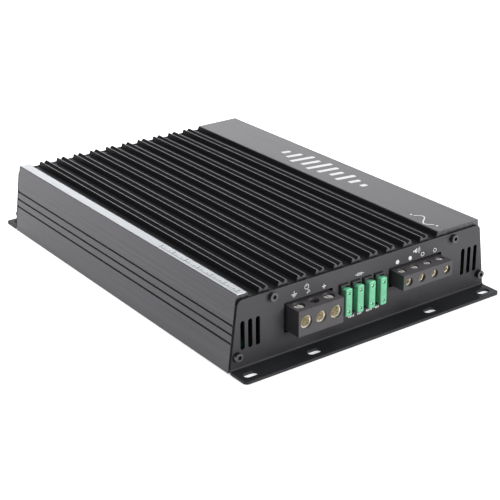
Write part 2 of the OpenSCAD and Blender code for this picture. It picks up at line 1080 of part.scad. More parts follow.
module input_choke_core() {
    color("dimgray")
        rod_x(choke_x, choke_y, choke_z, choke_r);
}

module input_choke_winding() {
    step = (choke_x[1] - choke_x[0] - 2 * choke_margin) / (choke_turns - 1);
    color("peru")
        for (i = [0:choke_turns - 1])
            translate([choke_x[0] + choke_margin + i * step, choke_y, choke_z])
                rotate([0, 90, 0])
                    rotate_extrude()
                        translate([choke_loop_r, 0])
                            circle(r = choke_wire_r);
}

// Upright electrolytic can with a vent groove near its foot
module can(x, y, size) {
    translate([x, y, board_top])
        difference() {
            cylinder(h = size[1], r = size[0]);
            translate([0, 0, vent_groove_z])
                difference() {
                    cylinder(h = vent_groove_h, r = size[0] + 1);
                    translate([0, 0, -1])
                        cylinder(h = vent_groove_h + 2, r = size[0] - vent_groove_d);
                }
        }
}

module input_capacitors() {
    color("midnightblue")
        for (x = input_can_x)
            for (y = input_can_y)
                can(x, y, input_can);
}

module rail_capacitors() {
    color("midnightblue")
        for (x = rail_can_x)
            can(x, rail_can_y, rail_can);
}

// ---------- Power stage on the side walls ----------

module power_transistors() {
    lead_x = pad_face_x - pad_t - device_size[0] / 2;
    color("black")
        for (s = [-1, 1])
            for (i = [0:device_count - 1]) {
                y = device_y(i);
                x_out = pad_face_x - pad_t;
                block(
                    mirrored(s, [x_out - device_size[0], x_out]),
                    span(y, device_size[1] / 2),
                    [device_z, device_z + device_size[2]]
                );
                for (k = [-1:1])
                    block(
                        span(s * lead_x, lead_half[0]),
                        span(y + k * lead_pitch, lead_half[1]),
                        [board_top, device_z + hair]
                    );
            }
}

module insulating_pads() {
    run = device_y(device_count - 1) + device_size[1] / 2 + pad_margin[0];
    color("lightgray")
        difference() {
            for (s = [-1, 1])
                block(
                    mirrored(s, [pad_face_x - pad_t, pad_face_x]),
                    [-run, run],
                    [device_z - pad_margin[1], device_z + device_size[2] + pad_margin[1]]
                );
            for (i = [0:device_count - 2])
                rod_x([-base_w, base_w], device_y(i + 0.5), device_screw_z, thread_r + hair);
        }
}

bar_x = pad_face_x - pad_t - device_size[0];

module clamp_bars() {
    run = device_y(device_count - 1) + device_size[1] / 2;
    color("silver")
        difference() {
            for (s = [-1, 1])
                block(mirrored(s, [bar_x - bar_t, bar_x]), [-run, run], bar_z);
            for (i = [0:device_count - 2])
                rod_x([-base_w, base_w], device_y(i + 0.5), device_screw_z, thread_r + hair);
        }
}

module clamp_bar_screws() {
    head_x = bar_x - bar_t;
    tip_x = pad_face_x + device_screw_bite - clear;
    color("darkgray")
        for (s = [-1, 1])
            for (i = [0:device_count - 2]) {
                y = device_y(i + 0.5);
                rod_x(mirrored(s, [head_x - head_h, head_x]), y, device_screw_z, head_r);
                rod_x(mirrored(s, [head_x, tip_x]), y, device_screw_z, shank_r);
            }
}

// ---------- Nodes ----------

heatsink_body();
trim_strip();
bottom_cover();
bottom_cover_screws();
front_panel();
rear_panel();
front_panel_screws();
rear_panel_screws();
power_terminal_housing();
power_terminal_sleeves();
power_clamp_screw(0);  // ground_clamp_screw
power_clamp_screw(1);  // remote_clamp_screw
power_clamp_screw(2);  // battery_clamp_screw
speaker_terminal_housing();
speaker_terminal_sleeves();
speaker_clamp_screw(0);  // speaker_clamp_screw_1
speaker_clamp_screw(1);  // speaker_clamp_screw_2
speaker_clamp_screw(2);  // speaker_clamp_screw_3
speaker_clamp_screw(3);  // speaker_clamp_screw_4
fuse_holder();
fuse_contacts();
fuse_body(0);  // fuse_body_1
fuse_body(1);  // fuse_body_2
fuse_body(2);  // fuse_body_3
fuse_body(3);  // fuse_body_4
fuse_blades(0);  // fuse_blades_1
fuse_blades(1);  // fuse_blades_2
fuse_blades(2);  // fuse_blades_3
fuse_blades(3);  // fuse_blades_4
rca_housing();
rca_shells();
rca_insulators();
rca_contacts();
control_knob(3);  // gain_knob
control_knob(2);  // lowpass_knob
control_knob(1);  // subsonic_knob
control_knob(0);  // bass_knob
potentiometers();
phase_switch();
phase_slider();
remote_level_socket();
status_leds();
main_board();
main_board_screws();
control_board();
control_board_spacers();
control_chips();
driver_chips();
transformer_core();
transformer_winding();
output_coil_core();
output_coil_winding();
input_choke_core();
input_choke_winding();
input_capacitors();
rail_capacitors();
power_transistors();
insulating_pads();
clamp_bars();
clamp_bar_screws();
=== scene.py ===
import json
import math

import bmesh
import bpy
from mathutils import Matrix, Vector
from mathutils.geometry import delaunay_2d_cdt


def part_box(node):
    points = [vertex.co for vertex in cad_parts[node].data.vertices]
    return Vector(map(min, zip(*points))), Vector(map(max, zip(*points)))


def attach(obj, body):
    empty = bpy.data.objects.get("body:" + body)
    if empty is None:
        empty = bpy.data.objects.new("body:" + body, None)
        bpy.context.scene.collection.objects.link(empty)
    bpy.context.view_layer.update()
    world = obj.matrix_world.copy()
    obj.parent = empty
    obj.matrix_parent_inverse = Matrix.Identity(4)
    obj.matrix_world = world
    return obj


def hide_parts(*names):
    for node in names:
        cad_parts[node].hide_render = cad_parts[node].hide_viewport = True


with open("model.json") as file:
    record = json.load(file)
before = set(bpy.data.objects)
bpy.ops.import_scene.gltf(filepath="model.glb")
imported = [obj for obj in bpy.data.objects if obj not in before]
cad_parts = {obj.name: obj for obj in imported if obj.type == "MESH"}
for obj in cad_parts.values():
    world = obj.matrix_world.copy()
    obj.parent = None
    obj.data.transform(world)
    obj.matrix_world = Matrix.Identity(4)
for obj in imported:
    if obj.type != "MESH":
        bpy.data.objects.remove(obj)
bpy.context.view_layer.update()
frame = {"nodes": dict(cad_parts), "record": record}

# Shapes are laid out in millimetres in the CAD's frame, and MM turns them into Blender's metres.
MM = 0.001
slot_of = {part["node"]: part["material_slot"] for part in frame["record"]["subparts"]}


def mm_box(node):
    """Lowest and highest corner of a CAD node, in millimetres."""
    low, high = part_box(node)
    return [v / MM for v in low], [v / MM for v in high]


# ---------------------------------------------------------------- materials

# Noise sizes are in cycles per metre, relief depths in metres. Tones are shares of a colour.
PEBBLES = 1700.0
BRUSH_BAND = (0.32, 0.68)


class Shader:
    """A principled material with a few helpers for its nodes, in the CAD frame's coordinates."""

    def __init__(self, name):
        self.material = bpy.data.materials.new(name)
        self.material.use_nodes = True
        self.tree = self.material.node_tree
        self.tree.nodes.clear()
        self.out = self.tree.nodes.new("ShaderNodeOutputMaterial")
        self.base = self.tree.nodes.new("ShaderNodeBsdfPrincipled")
        self.link(self.base.outputs[0], self.out.inputs[0])
        self.coord = self.tree.nodes.new("ShaderNodeTexCoord").outputs["Object"]

    def link(self, a, b):
        self.tree.links.new(a, b)

    def set(self, **values):
        """Values that are the same all over the surface, straight on the shader's sockets."""
        for key, value in values.items():
            self.base.inputs[key.replace("_", " ")].default_value = value
        return self

    def noise(self, scale, detail, roughness=0.55):
        """Noise whose size can differ along each axis; returns its factor."""
        mapping = self.tree.nodes.new("ShaderNodeMapping")
        mapping.inputs["Scale"].default_value = (
            scale if hasattr(scale, "__len__") else (scale, scale, scale)
        )
        self.link(self.coord, mapping.inputs["Vector"])
        node = self.tree.nodes.new("ShaderNodeTexNoise")
        node.inputs["Scale"].default_value = 1.0
        node.inputs["Detail"].default_value = detail
        node.inputs["Roughness"].default_value = roughness
        self.link(mapping.outputs[0], node.inputs["Vector"])
        return node.outputs[0]

    def ramp(self, factor, low, high, at=(0.3, 0.7)):
        """Colour that runs from low to high over the factor's middle part."""
        node = self.tree.nodes.new("ShaderNodeValToRGB")
        node.color_ramp.elements[0].position = at[0]
        node.color_ramp.elements[1].position = at[1]
        node.color_ramp.elements[0].color = (*low, 1)
        node.color_ramp.elements[1].color = (*high, 1)
        self.link(factor, node.inputs[0])
        return node.outputs[0]

    def remap(self, factor, low, high, at=(0.3, 0.7)):
        """A number that runs from low to high over the factor's middle part."""
        node = self.tree.nodes.new("ShaderNodeMapRange")
        node.inputs["From Min"].default_value = at[0]
        node.inputs["From Max"].default_value = at[1]
        node.inputs["To Min"].default_value = low
        node.inputs["To Max"].default_value = high
        self.link(factor, node.inputs["Value"])
        return node.outputs[0]

    def mix(self, factor, a, b):
        """Colour a where the factor is 0, and b where it is 1; either may be a node's output."""
        node = self.tree.nodes.new("ShaderNodeMix")
        node.data_type = "RGBA"
        self.link(factor, node.inputs[0])
        for socket, value in ((node.inputs[6], a), (node.inputs[7], b)):
            if hasattr(value, "default_value"):
                self.link(value, socket)
            else:
                socket.default_value = (*value, 1)
        return node.outputs[2]

    def bump(self, height, strength, distance):
        """A surface normal from a height; distance is the relief's depth."""
        node = self.tree.nodes.new("ShaderNodeBump")
        node.inputs["Strength"].default_value = strength
        node.inputs["Distance"].default_value = distance
        self.link(height, node.inputs["Height"])
        return node.outputs[0]

    def object_axis(self, axis):
        """A place's X, Y or Z in metres."""
        node = self.tree.nodes.new("ShaderNodeSeparateXYZ")
        self.link(self.coord, node.inputs[0])
        return node.outputs[axis]

    def brush_along_y(self):
        """Draws the highlight out across brush lines that run along Y."""
        node = self.tree.nodes.new("ShaderNodeTangent")
        node.direction_type = "RADIAL"
        node.axis = "Y"
        self.link(node.outputs[0], self.base.inputs["Tangent"])

    def use(self, **sockets):
        """Links node outputs to the shader's sockets."""
        for key, value in sockets.items():
            self.link(value, self.base.inputs[key.replace("_", " ")])


def scaled(colour, k):
    return tuple(min(1.0, c * k) for c in colour)


def moulded(name, colour, roughness):
    """Moulded plastic with a fine eroded texture and faint flow marks."""
    s = Shader(name).set(Specular_IOR_Level=0.5)
    fine = s.noise(900.0, 4.0)
    flow = s.noise(60.0, 2.0)
    s.use(
        Base_Color=s.ramp(flow, scaled(colour, 0.88), scaled(colour, 1.12)),
        Roughness=s.remap(fine, roughness - 0.06, roughness + 0.08),
        Normal=s.bump(fine, 0.15, 0.00005),
    )
    return s.material


def pebbled(s, colour, roughness):
    """Gives a shader a powder coat's fine pebbled surface under a colour."""
    pebble = s.noise(PEBBLES, 2.0, 0.5)
    s.use(
        Base_Color=colour,
        Roughness=s.remap(pebble, roughness - 0.05, roughness + 0.08),
        Normal=s.bump(pebble, 0.22, 0.00006),
    )
    return s.material


def coated(name, colour, roughness, specular=0.35):
    """Powder coat of a nearly even tone."""
    s = Shader(name).set(Specular_IOR_Level=specular)
    broad = s.noise(22.0, 3.0)
    return pebbled(s, s.ramp(broad, scaled(colour, 0.93), scaled(colour, 1.07)), roughness)


def plate_coat_with_painted_shade(name, colour, flange_shade_colour, roughness):
    """Powder coat with painted shade: its tone deepens down the plate, most of all on the flange.
    """
    upright, flange_shade_span = (0.006, 0.032), (0.0022, 0.0034)
    s = Shader(name).set(Specular_IOR_Level=0.3)
    broad = s.noise(22.0, 3.0)
    height = s.object_axis("Z")
    # Painted shade: the face is a fifth as bright up to 6 mm and reaches its full colour at 32 mm
    face = s.mix(s.remap(height, 0.0, 1.0, upright), scaled(colour, 0.2), colour)
    tone = s.mix(s.remap(broad, 0.0, 0.5), face, scaled(colour, 0.85))
    # Painted shade on the flange: its dark colour below 2.2 mm blends into the face's tone by 3.4
    # mm
    return pebbled(s, s.mix(s.remap(height, 0.0, 1.0, flange_shade_span), flange_shade_colour, tone), roughness)


def bare_metal(name):
    """Bare aluminium brushed along its length."""
    colour = (0.74, 0.76, 0.78)
    s = Shader(name).set(Metallic=1.0, Anisotropic=0.55)
    s.brush_along_y()
    lines = s.noise((1400.0, 9.0, 1400.0), 4.0, 0.6)
    broad = s.noise((30.0, 3.0, 30.0), 2.0)
    streak = s.ramp(lines, scaled(colour, 0.84), scaled(colour, 1.16), BRUSH_BAND)
    s.use(
        Base_Color=s.mix(s.remap(broad, 0.0, 0.25), streak, scaled(colour, 0.85)),
        Roughness=s.remap(lines, 0.43, 0.59),
        Normal=s.bump(lines, 0.06, 0.00004),
    )
    return s.material


def plated(name, colour, roughness, metallic=1.0):
    """Plated or plain metal with small marks."""
    s = Shader(name).set(Metallic=metallic)
    marks = s.noise(700.0, 4.0, 0.6)
    broad = s.noise(180.0, 2.0)
    s.use(
        Base_Color=s.ramp(broad, scaled(colour, 0.86), scaled(colour, 1.05)),
        Roughness=s.remap(marks, roughness - 0.08, roughness + 0.12),
        Normal=s.bump(marks, 0.06, 0.00005),
    )
    return s.material


def anodised(name):
    """Dark anodised extrusion brushed along its length."""
    colour = (0.094, 0.0905, 0.098)
    s = Shader(name).set(Metallic=0.92, Anisotropic=0.5)
    s.brush_along_y()
    lines = s.noise((620.0, 3.5, 620.0), 5.0, 0.66)
    broad = s.noise((26.0, 2.5, 26.0), 2.0)
    streak = s.ramp(lines, scaled(colour, 0.66), scaled(colour, 1.42), BRUSH_BAND)
    s.use(
        Base_Color=s.mix(s.remap(broad, 0.0, 0.3), streak, scaled(colour, 0.8)),
        Roughness=s.remap(lines, 0.3, 0.46),
        Normal=s.bump(lines, 0.12, 0.00004),
    )
    return s.material


def fin_hollow_shade(name):
    """The same extrusion in the hollows between its fins, unbrushed, with painted shade that makes
    it nearly black.
    """
    # Painted shade: nearly black, where the fins shade each other
    colour = (0.026, 0.026, 0.029)
    s = Shader(name).set(Metallic=0.6, Specular_IOR_Level=0.3)
    lines = s.noise((700.0, 5.0, 700.0), 4.0, 0.6)
    s.use(
        Base_Color=s.ramp(lines, scaled(colour, 0.8), scaled(colour, 1.25)),
        Roughness=s.remap(lines, 0.42, 0.58),
        Normal=s.bump(lines, 0.1, 0.00005),
    )
    return s.material


def fuse_moulding(name):
    """Green moulding that light goes a little way into."""
    colour = (0.19, 0.6, 0.35)
    s = Shader(name).set(
        Subsurface_Weight=0.25,
        Subsurface_Radius=(0.2, 1.0, 0.5),
        Subsurface_Scale=0.0012,
        Specular_IOR_Level=0.5,
        Coat_Weight=0.15,
    )
    fine = s.noise(1100.0, 3.0)
    broad = s.noise(160.0, 2.0)
    s.use(
        Base_Color=s.ramp(broad, scaled(colour, 0.92), scaled(colour, 1.1)),
        Roughness=s.remap(fine, 0.3, 0.42),
        Normal=s.bump(fine, 0.08, 0.00004),
    )
    return s.material


def board_surface(name):
    """Solder mask over copper tracks."""
    s = Shader(name).set(Specular_IOR_Level=0.5, Coat_Weight=0.3)
    cells = s.tree.nodes.new("ShaderNodeTexBrick")
    cells.inputs["Scale"].default_value = 120.0
    cells.inputs["Mortar Size"].default_value = 0.06
    cells.inputs["Color1"].default_value = (0.012, 0.1, 0.045, 1)
    cells.inputs["Color2"].default_value = (0.016, 0.13, 0.055, 1)
    cells.inputs["Mortar"].default_value = (0.02, 0.2, 0.08, 1)
    s.link(s.coord, cells.inputs["Vector"])
    fine = s.noise(500.0, 3.0)
    s.use(
        Base_Color=cells.outputs["Color"],
        Roughness=s.remap(fine, 0.25, 0.4),
        Normal=s.bump(fine, 0.1, 0.00005),
    )
    return s.material


def wire_surface(name):
    """Enamelled copper."""
    colour = (0.62, 0.26, 0.1)
    s = Shader(name).set(Metallic=0.85, Coat_Weight=0.5)
    fine = s.noise(600.0, 3.0)
    s.use(
        Base_Color=s.ramp(fine, scaled(colour, 0.8), scaled(colour, 1.15)),
        Roughness=s.remap(fine, 0.25, 0.4),
        Normal=s.bump(fine, 0.1, 0.00005),
    )
    return s.material


def lamp_surface(name):
    """Tinted lens of an unlit status lamp."""
    colour = (0.12, 0.6, 0.2)
    s = Shader(name).set(Transmission_Weight=0.35, IOR=1.5)
    fine = s.noise(900.0, 2.0)
    s.use(
        Base_Color=s.ramp(fine, scaled(colour, 0.9), scaled(colour, 1.1)),
        Roughness=s.remap(fine, 0.12, 0.22),
        Normal=s.bump(fine, 0.04, 0.00003),
    )
    return s.material


def print_ink(name, colour):
    """Printed ink with slight wear."""
    s = Shader(name).set(Specular_IOR_Level=0.4)
    fine = s.noise(2200.0, 3.0)
    s.use(
        Base_Color=s.ramp(fine, scaled(colour, 0.88), scaled(colour, 1.04)),
        Roughness=s.remap(fine, 0.42, 0.58),
    )
    return s.material


materials = {
    "anodised_case": anodised("anodised_case"),
    "bare_trim": bare_metal("bare_trim"),
    # The plate's coat carries painted shade: darker low down, and the near-black flange colour
    "coated_plate": plate_coat_with_painted_shade("coated_plate", (0.07, 0.067, 0.073), (0.02, 0.021, 0.024), 0.5),
    "cover_sheet": coated("cover_sheet", (0.04, 0.04, 0.042), 0.6),
    "black_screw": plated("black_screw", (0.12, 0.118, 0.122), 0.34),
    "zinc_screw": plated("zinc_screw", (0.9, 0.88, 0.83), 0.36, metallic=0.35),
    "terminal_plastic": moulded("terminal_plastic", (0.062, 0.058, 0.062), 0.5),
    "terminal_metal": plated("terminal_metal", (0.92, 0.86, 0.7), 0.3, metallic=0.7),
    "holder_plastic": moulded("holder_plastic", (0.048, 0.047, 0.05), 0.45),
    "fuse_plastic": fuse_moulding("fuse_plastic"),
    "contact_metal": plated("contact_metal", (0.8, 0.78, 0.72), 0.25),
    "jack_plastic": moulded("jack_plastic", (0.028, 0.028, 0.03), 0.45),
    "jack_metal": plated("jack_metal", (0.82, 0.8, 0.74), 0.18),
    "jack_insulator": moulded("jack_insulator", (0.62, 0.58, 0.52), 0.4),
    "knob_plastic": moulded("knob_plastic", (0.03, 0.03, 0.032), 0.42),
    "slider_plastic": moulded("slider_plastic", (0.62, 0.62, 0.6), 0.4),
    "switch_metal": plated("switch_metal", (0.62, 0.62, 0.6), 0.32),
    "lamp": lamp_surface("lamp"),
    "board": board_surface("board"),
    "chip": moulded("chip", (0.02, 0.02, 0.021), 0.5),
    "ferrite": moulded("ferrite", (0.16, 0.26, 0.13), 0.45),
    "copper_wire": wire_surface("copper_wire"),
    "can_sleeve": moulded("can_sleeve", (0.02, 0.026, 0.1), 0.3),
    "pad_sheet": moulded("pad_sheet", (0.42, 0.42, 0.44), 0.7),
    "steel_bar": plated("steel_bar", (0.58, 0.58, 0.6), 0.35),
}
# Nearly black painted shade for the hollows between the fins
fin_shade_material = fin_hollow_shade("anodised_hollow_painted_shade")
# Painted shade: near black for the edges of the plates' upright leaves
edge_shade_material = coated("plate_edge_painted_shade", (0.012, 0.012, 0.013), 0.7, 0.15)
ink_white = print_ink("ink_white", (0.86, 0.86, 0.86))
ink_dark = print_ink("ink_dark", (0.1, 0.1, 0.105))


# ---------------------------------------------------------------- outlines, in millimetres


NEARLY_STRAIGHT = math.radians(176)
ARC_SHARE = 0.48  # the most of a side that one corner's arc takes up
MITRE_LIMIT = 0.35  # keeps an inset sharp corner from shooting far out
MERGE = 1e-7


def rounded(points, radius, steps):
    """A closed outline with its corners turned into arcs.

    A point may carry its own radius as a third number.
    """
    out = []
    n = len(points)
    for i in range(n):
        p0, p1, p2 = (Vector(points[(i + k) % n][:2]) for k in (-1, 0, 1))
        r = points[i][2] if len(points[i]) > 2 else radius
        a, b = (p0 - p1), (p2 - p1)
        la, lb = a.length, b.length
        a, b = a / la, b / lb
        opening = math.acos(max(-1.0, min(1.0, a.dot(b))))
        if r <= 0 or opening > NEARLY_STRAIGHT:
            out.append(tuple(p1))
            continue
        reach = min(r / math.tan(opening / 2), ARC_SHARE * la, ARC_SHARE * lb)
        r = reach * math.tan(opening / 2)
        centre = p1 + (a + b).normalized() * (r / math.sin(opening / 2))
        start, end = p1 + a * reach - centre, p1 + b * reach - centre
        a0 = math.atan2(start.y, start.x)
        turn = math.atan2(end.y, end.x) - a0
        turn = (turn + math.pi) % (2 * math.pi) - math.pi
        for k in range(steps + 1):
            t = a0 + turn * k / steps
            out.append((centre.x + r * math.cos(t), centre.y + r * math.sin(t)))
    return out


def about(middle, half):
    """The two limits of a span, from its middle."""
    return (middle - half, middle + half)


def rect(x, y, radius, steps):
    """Rounded rectangle from its limits."""
    return rounded([(x[0], y[0]), (x[1], y[0]), (x[1], y[1]), (x[0], y[1])], radius, steps)


def circle(cx, cy, r, steps):
    turns = [2 * math.pi * k / steps for k in range(steps)]
    return [(cx + r * math.cos(t), cy + r * math.sin(t)) for t in turns]


def capsule(a, b, r, steps):
    """Outline of a round-ended stroke from a to b."""
    a, b = Vector(a), Vector(b)
    angle = math.atan2(b.y - a.y, b.x - a.x)
    out = []
    for centre, first in ((b, angle - math.pi / 2), (a, angle + math.pi / 2)):
        for k in range(steps + 1):
            t = first + math.pi * k / steps
            out.append((centre.x + r * math.cos(t), centre.y + r * math.sin(t)))
    return out


def area(points):
    """Signed area, above 0 for an outline that runs anticlockwise."""
    return 0.5 * sum(
        points[i - 1][0] * points[i][1] - points[i][0] * points[i - 1][1]
        for i in range(len(points))
    )


def anticlockwise(points):
    return list(points) if area(points) > 0 else list(reversed(points))


def inside(p, loop):
    """1 if the point lies inside the closed outline, otherwise 0."""
    found = 0
    x0, y0 = loop[-1]
    for x1, y1 in loop:
        if (y1 > p[1]) != (y0 > p[1]) and p[0] < (x0 - x1) * (p[1] - y1) / (y0 - y1) + x1:
            found ^= 1
        x0, y0 = x1, y1
    return found


def inset(points, d):
    """An outline moved into the solid by d. The outer one runs anticlockwise, holes clockwise."""
    if d == 0:
        return [Vector(p) for p in points]
    out = []
    n = len(points)
    for i in range(n):
        p0, p1, p2 = (Vector(points[(i + k) % n]) for k in (-1, 0, 1))
        u, v = (p1 - p0).normalized(), (p2 - p1).normalized()
        m = Vector((-u.y, u.x)) + Vector((-v.y, v.x))
        if m.length < 1e-6:
            m = Vector((-u.y, u.x))
        m.normalize()
        k = max(MITRE_LIMIT, m.dot(Vector((-u.y, u.x))))
        out.append(p1 + m * (d / k))
    return out


# ---------------------------------------------------------------- solids


def along_y(u, v, h):
    """A place in millimetres on a solid whose height runs along Y."""
    return (u, h, v)


def along_z(u, v, h):
    return (u, v, h)


def prism_levels(low, high, bevel_low, bevel_high, steps):
    """The (inset, height) pairs of a solid whose two end edges are rounded."""
    turns = [math.pi / 2 * k / steps for k in range(steps)]
    levels = [(0.0, low + bevel_low), (0.0, high - bevel_high)]
    if bevel_low > 0:
        b = bevel_low
        levels = [(b * (1 - math.sin(t)), low + b * (1 - math.cos(t))) for t in turns] + levels
    if bevel_high > 0:
        b = bevel_high
        levels += [(b * (1 - math.sin(t)), high - b * (1 - math.cos(t))) for t in turns[::-1]]
    return levels


def cap_end(bm, ring, outlines, flip):
    """Closes one end: the area inside the first outline and outside the others."""
    flat = [v for loop in ring for v in loop]
    points, edges = [], []
    for outline in outlines:
        start, n = len(points), len(outline)
        edges += [(start + i, start + (i + 1) % n) for i in range(n)]
        points += outline
    verts, _, faces, origin, _, _ = delaunay_2d_cdt(points, edges, [], 1, MERGE)
    for face in faces:
        middle = sum((verts[k] for k in face), Vector((0, 0))) / len(face)
        if sum(inside(middle, outline) for outline in outlines) != 1:
            continue
        if not all(origin[k] for k in face):
            continue
        corner = [flat[origin[k][0]] for k in face]
        if len(set(corner)) < 3:
            continue
        if flip:
            corner.reverse()
        try:
            bm.faces.new(corner)
        except ValueError:
            # The same face is already there
            pass


def prism_bmesh(
    outer, holes, low, high, place, bevel_low=0.0, bevel_high=0.0, steps=3, rim=1.0
):
    """A solid between two heights with its end edges rounded.

    place turns (u, v, height) into a point in millimetres. rim is how much of the rounding the
    holes' edges get. A corner of the outline has to be rounder than the end edges.
    """
    shares = [1.0] + [rim] * len(holes)
    loops = [anticlockwise(outer)] + [anticlockwise(h)[::-1] for h in holes]
    levels = prism_levels(low, high, bevel_low, bevel_high, steps)
    bm = bmesh.new()
    rings = []
    for d, h in levels:
        ring = []
        for loop, share in zip(loops, shares):
            moved = inset(loop, d * share)
            ring.append([bm.verts.new(Vector(place(p[0], p[1], h)) * MM) for p in moved])
        rings.append(ring)
    for low_ring, high_ring in zip(rings, rings[1:]):
        for a, b in zip(low_ring, high_ring):
            n = len(a)
            for i in range(n):
                j = (i + 1) % n
                bm.faces.new((a[i], a[j], b[j], b[i]))
    for ring, (d, _), flip in ((rings[0], levels[0], True), (rings[-1], levels[-1], False)):
        outlines = [inset(loop, d * share) for loop, share in zip(loops, shares)]
        cap_end(bm, ring, outlines, flip)
    return bm


def finish_piece(bm, name, material, body="case", smooth=30.0, merge=True):
    """Turns a bmesh, in metres in the CAD's frame, into a piece that rides on a body.

    smooth is the angle, in degrees, above which an edge stays sharp.
    """
    if merge:
        bmesh.ops.remove_doubles(bm, verts=bm.verts, dist=MERGE)
    bmesh.ops.recalc_face_normals(bm, faces=bm.faces)
    mesh = bpy.data.meshes.new(name)
    bm.to_mesh(mesh)
    bm.free()
    for polygon in mesh.polygons:
        polygon.use_smooth = True
    mesh.set_sharp_from_angle(angle=math.radians(smooth))
    obj = bpy.data.objects.new(name, mesh)
    bpy.context.scene.collection.objects.link(obj)
    for m in material if isinstance(material, list) else [material]:
        mesh.materials.append(m)
    weighted = obj.modifiers.new("weighted", "WEIGHTED_NORMAL")
    weighted.keep_sharp = True
    weighted.weight = 100
    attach(obj, body)
    return obj


def joined(bms):
    """Several bmeshes as one."""
    out = bmesh.new()
    for bm in bms:
        mesh = bpy.data.meshes.new("part")
        bm.to_mesh(mesh)
        bm.free()
        out.from_mesh(mesh)
        bpy.data.meshes.remove(mesh)
    return out


def lathe_bmesh(profile, centre, steps):
    """A solid turned about Y. The profile is (radius, y) pairs; radius 0 closes an end."""
    bm = bmesh.new()
    rings = []
    for r, y in profile:
        points = circle(*centre, r, steps) if r > 0 else [centre]
        rings.append([bm.verts.new(Vector(along_y(*p, y)) * MM) for p in points])
    for a, b in zip(rings, rings[1:]):
        for k in range(steps):
            j = (k + 1) % steps
            if len(a) == 1:
                bm.faces.new((a[0], b[k], b[j]))
            elif len(b) == 1:
                bm.faces.new((a[k], a[j], b[0]))
            else:
                bm.faces.new((a[k], a[j], b[j], b[k]))
    return bm


# ---------------------------------------------------------------- extruded case


low, high = mm_box("heatsink_body")
CASE_Y = (low[1], high[1])
CASE_H = high[2]
strip_low, strip_high = mm_box("trim_strip")
STRIP_GAP = 0.05
RAIL_X = -90.2
PANEL_X = 62.0

FINS = 10
FIN_X0, FIN_PITCH, FIN_W, FIN_LAND, FIN_LEAN = -81.1, 14.25, 5.6, 0.8, 1.4
NOTCH_D = 2.0
ROOT_R, TIP_R, NOTCH_R = 0.8, 0.16, 0.45
FLOOR_Z = CASE_H - 3.7
WEB_Z = FLOOR_Z - 4

# The sides lean in by SIDE_LEAN over LEAN_HEIGHT
FOOT_HALF, SIDE_LEAN, LEAN_HEIGHT = 105.0, 6.75, 50.0
FOOT_Z = 0.2
GROOVES_Z = (19.2, 24.8, 30.5)
# height from the groove's middle, depth, corner radius
GROOVE = ((-0.75, 0.0, 0.18), (-0.3, 0.85, 0.12), (0.3, 0.85, 0.12), (0.75, 0.0, 0.18))

WALL_T = 3.0
COVER_X, LEDGE_X, RAIL_END_X, THICK_X = 101.9, 93.0, 89.0, 97.2
LEDGE_Z, BOARD_RAIL_Z, THICK_Z = (1.9, 4.9), (7.4, 9.4), 14.0
UNDER_PANEL = [(94.0, 45.3, 1.0), (66.0, 45.3, 1.0), (62.8, WEB_Z, 1.0)]

# Posts for the end plates' screws, as (x, z, radius)
POSTS = ((-99.5, 11.0, 3.2), (99.5, 11.0, 3.2), (-73.7, 43.4, 2.8), (73.7, 43.4, 3.2))
SCREW_R = 1.5


def side_at(z):
    """Half the case's width at a height."""
    return FOOT_HALF - SIDE_LEAN * z / LEAN_HEIGHT


def case_outline():
    """The extrusion's outside, as (x, z, corner radius)."""
    left, right = [], []
    for s, side in ((-1, left), (1, right)):
        side.append((s * side_at(FOOT_Z), FOOT_Z, 0.25))
        for z in GROOVES_Z:
            for up, depth, radius in GROOVE:
                side.append((s * (side_at(z + up) - depth), z + up, radius))
        side.append((s * side_at(CASE_H), CASE_H, 0.25))
    top = [
        (strip_low[0] - STRIP_GAP, CASE_H, 0.12),
        (strip_low[0] - STRIP_GAP, strip_low[2], 0.0),
        (strip_high[0] + STRIP_GAP, strip_low[2], 0.0),
        (strip_high[0] + STRIP_GAP, CASE_H, 0.12),
        (RAIL_X, CASE_H, 0.14),
        (RAIL_X + FIN_LEAN, FLOOR_Z, ROOT_R),
    ]
    for i in range(FINS):
        x = FIN_X0 + i * FIN_PITCH
        top += [
            (x - FIN_LEAN, FLOOR_Z, ROOT_R),
            (x, CASE_H, TIP_R),
            (x + FIN_LAND, CASE_H, TIP_R),
            (x + FIN_W / 2, CASE_H - NOTCH_D, NOTCH_R),
            (x + FIN_W - FIN_LAND, CASE_H, TIP_R),
            (x + FIN_W, CASE_H, TIP_R),
            (x + FIN_W + FIN_LEAN, FLOOR_Z, ROOT_R),
        ]
    top += [(PANEL_X - FIN_LEAN, FLOOR_Z, ROOT_R), (PANEL_X, CASE_H, 0.9)]
    return left + top + right[::-1]


def channel_side(s):
    """One wall's inside from the foot up, as (x, z, corner radius): cover, ledge, board rail."""

    def wall(z):
        return s * (side_at(z) - WALL_T)

    return [
        (s * COVER_X, FOOT_Z, 0.15),
        (s * COVER_X, LEDGE_Z[0], 0.1),
        (s * LEDGE_X, LEDGE_Z[0], 0.3),
        (s * LEDGE_X, LEDGE_Z[1], 0.3),
        (wall(LEDGE_Z[1]), LEDGE_Z[1], 0.5),
        (wall(BOARD_RAIL_Z[0]), BOARD_RAIL_Z[0], 0.5),
        (s * RAIL_END_X, BOARD_RAIL_Z[0], 0.3),
        (s * RAIL_END_X, BOARD_RAIL_Z[1], 0.3),
        (wall(BOARD_RAIL_Z[1]), BOARD_RAIL_Z[1], 0.5),
        (wall(THICK_Z), THICK_Z, 0.5),
        (s * THICK_X, THICK_Z, 0.3),
        (s * THICK_X, WEB_Z, 1.0),
    ]


